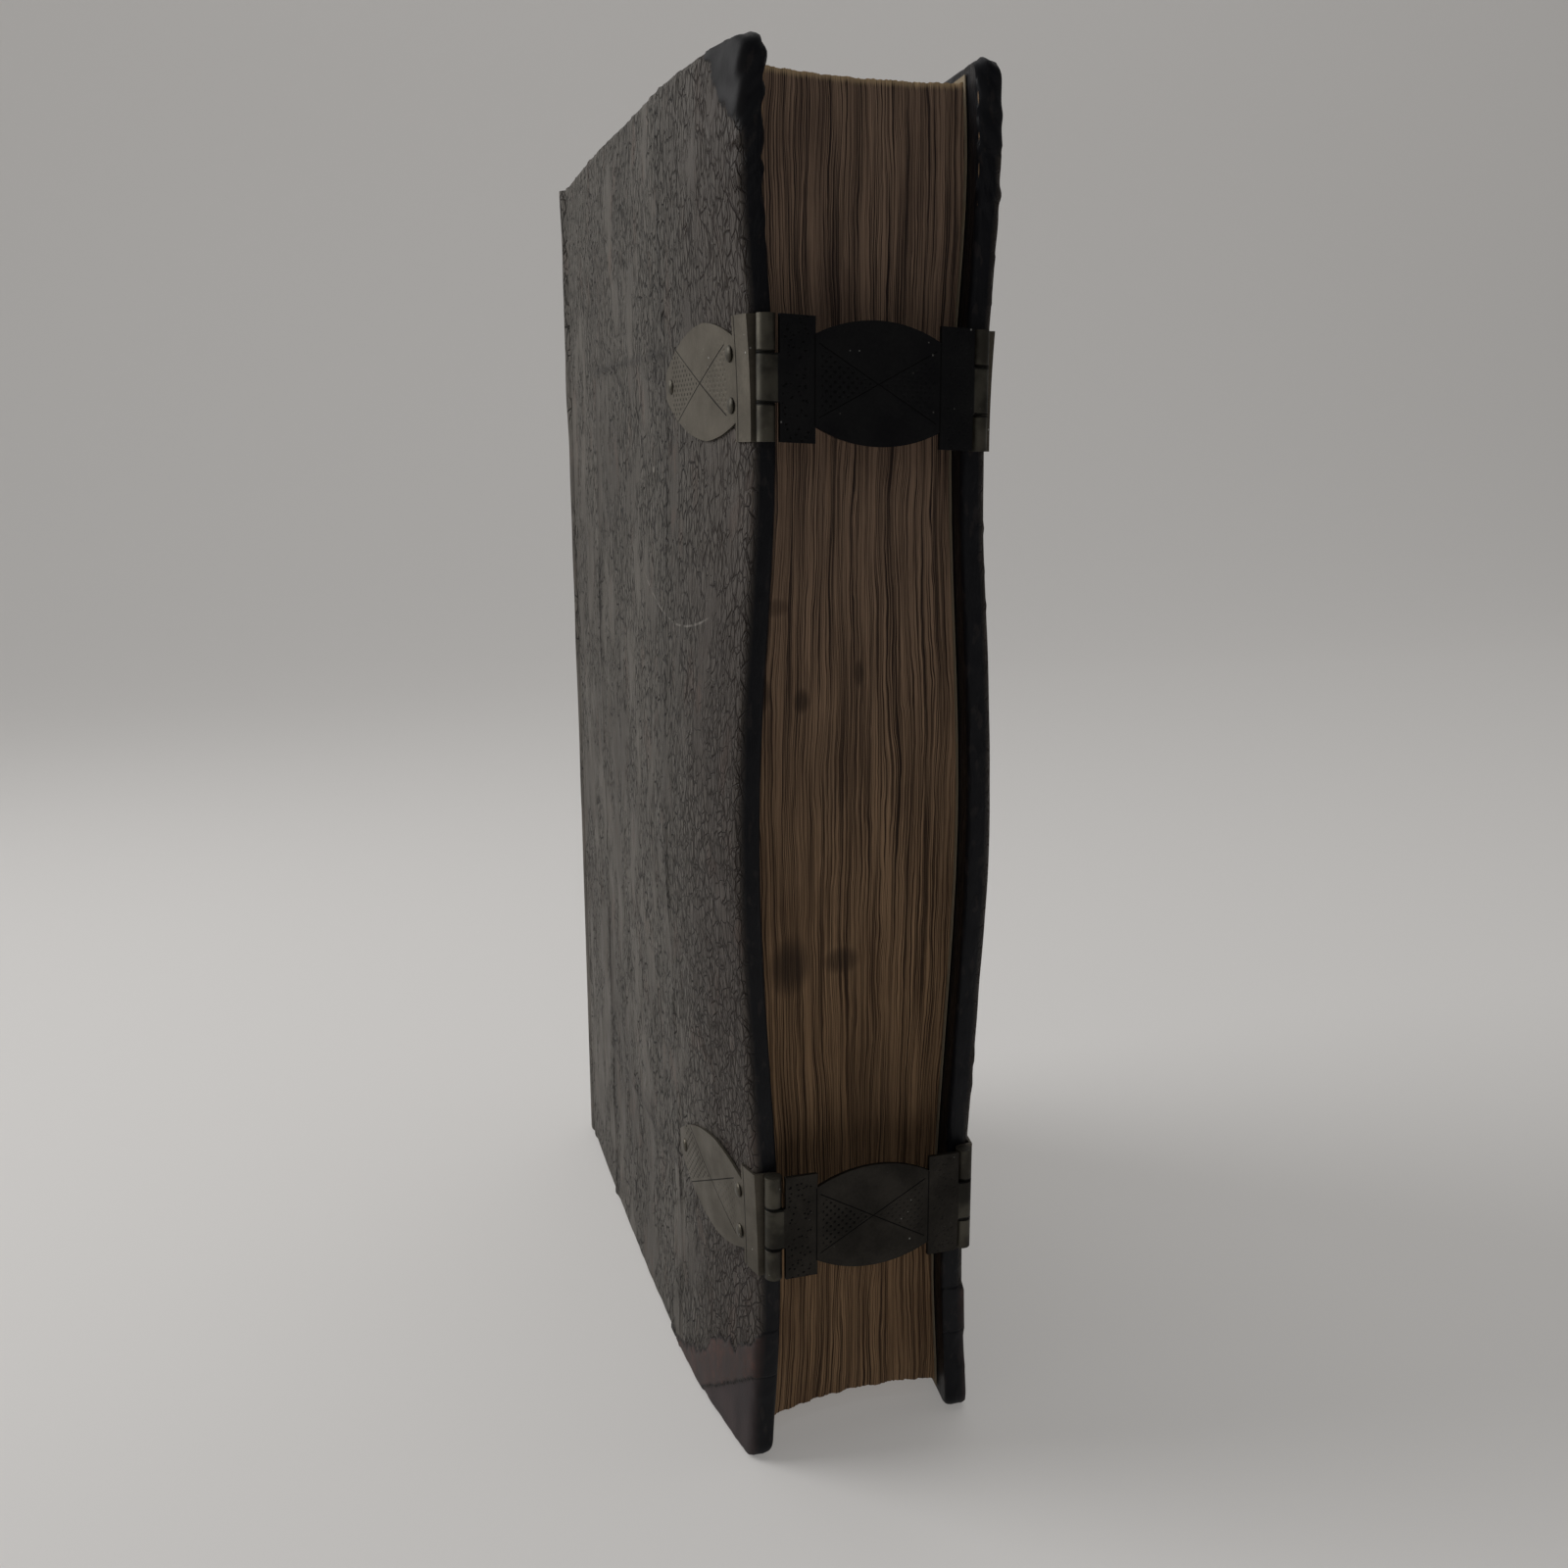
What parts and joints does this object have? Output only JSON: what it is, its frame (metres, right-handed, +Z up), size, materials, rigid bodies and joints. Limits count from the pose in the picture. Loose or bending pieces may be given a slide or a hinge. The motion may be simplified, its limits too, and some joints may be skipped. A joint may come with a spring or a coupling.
{
  "type": "leather-bound folio book with clasps",
  "caption": "Large antique book, leather over boards, with a sewn page block, raised bands, hinged covers and metal fore-edge clasps.",
  "frame": {"origin": "bottom centre of the bounding box, on the plane that the covers' tail edges stand on", "axes": "+Z up the height from tail to head, +Y from the fore-edge to the spine, +X from the front cover to the back cover"},
  "size_m": [0.0858, 0.2754, 0.4001],
  "materials": {
    "leather": "aged dark brown calf, craquelure",
    "board": "bare thin oak board",
    "pages": "aged rag paper edges",
    "endpaper": "pale laid paper",
    "endband": "linen thread over cord",
    "cord": "hemp cord",
    "clasp_metal": "dull tarnished brass with engraving",
    "rivet_metal": "dull tarnished brass"
  },
  "bodies": {
    "block": {"text_block": "pages", "front_flyleaf": "endpaper", "rear_flyleaf": "endpaper", "spine_leather": "leather", "head_endband": "endband", "tail_endband": "endband", "sewing_band_1": "cord", "sewing_band_2": "cord", "sewing_band_3": "cord", "sewing_band_4": "cord", "sewing_band_5": "cord"},
    "front_cover": {"front_board": "board", "front_leather": "leather", "front_pastedown": "endpaper", "top_anchor_plate": "clasp_metal", "bottom_anchor_plate": "clasp_metal", "top_hinge_pin": "rivet_metal", "bottom_hinge_pin": "rivet_metal", "front_top_rivet_1": "rivet_metal", "front_top_rivet_2": "rivet_metal", "front_top_rivet_3": "rivet_metal", "front_bottom_rivet_1": "rivet_metal", "front_bottom_rivet_2": "rivet_metal", "front_bottom_rivet_3": "rivet_metal"},
    "back_cover": {"back_board": "board", "back_leather": "leather", "back_pastedown": "endpaper", "top_catch_plate": "clasp_metal", "bottom_catch_plate": "clasp_metal", "top_catch_pin": "rivet_metal", "bottom_catch_pin": "rivet_metal", "back_top_rivet_1": "rivet_metal", "back_top_rivet_2": "rivet_metal", "back_top_rivet_3": "rivet_metal", "back_bottom_rivet_1": "rivet_metal", "back_bottom_rivet_2": "rivet_metal", "back_bottom_rivet_3": "rivet_metal"},
    "top_clasp_arm": {"top_clasp": "clasp_metal"},
    "bottom_clasp_arm": {"bottom_clasp": "clasp_metal"}
  },
  "joints": [
    {"name": "front_cover_hinge", "type": "hinge", "parent": "block", "child": "front_cover", "pos_m": [-0.036, 0.1079, 0.2], "axis": [0, 0, -1], "range_deg": [0, 170]},
    {"name": "back_cover_hinge", "type": "hinge", "parent": "block", "child": "back_cover", "pos_m": [0.036, 0.1079, 0.2], "axis": [0, 0, 1], "range_deg": [0, 170]},
    {"name": "top_clasp_hinge", "type": "hinge", "parent": "front_cover", "child": "top_clasp_arm", "pos_m": [-0.0311, -0.1352, 0.3167], "axis": [0, 0, -1], "range_deg": [0, 150]},
    {"name": "bottom_clasp_hinge", "type": "hinge", "parent": "front_cover", "child": "bottom_clasp_arm", "pos_m": [-0.03, -0.1352, 0.0784], "axis": [0, 0, -1], "range_deg": [0, 150]}
  ]
}
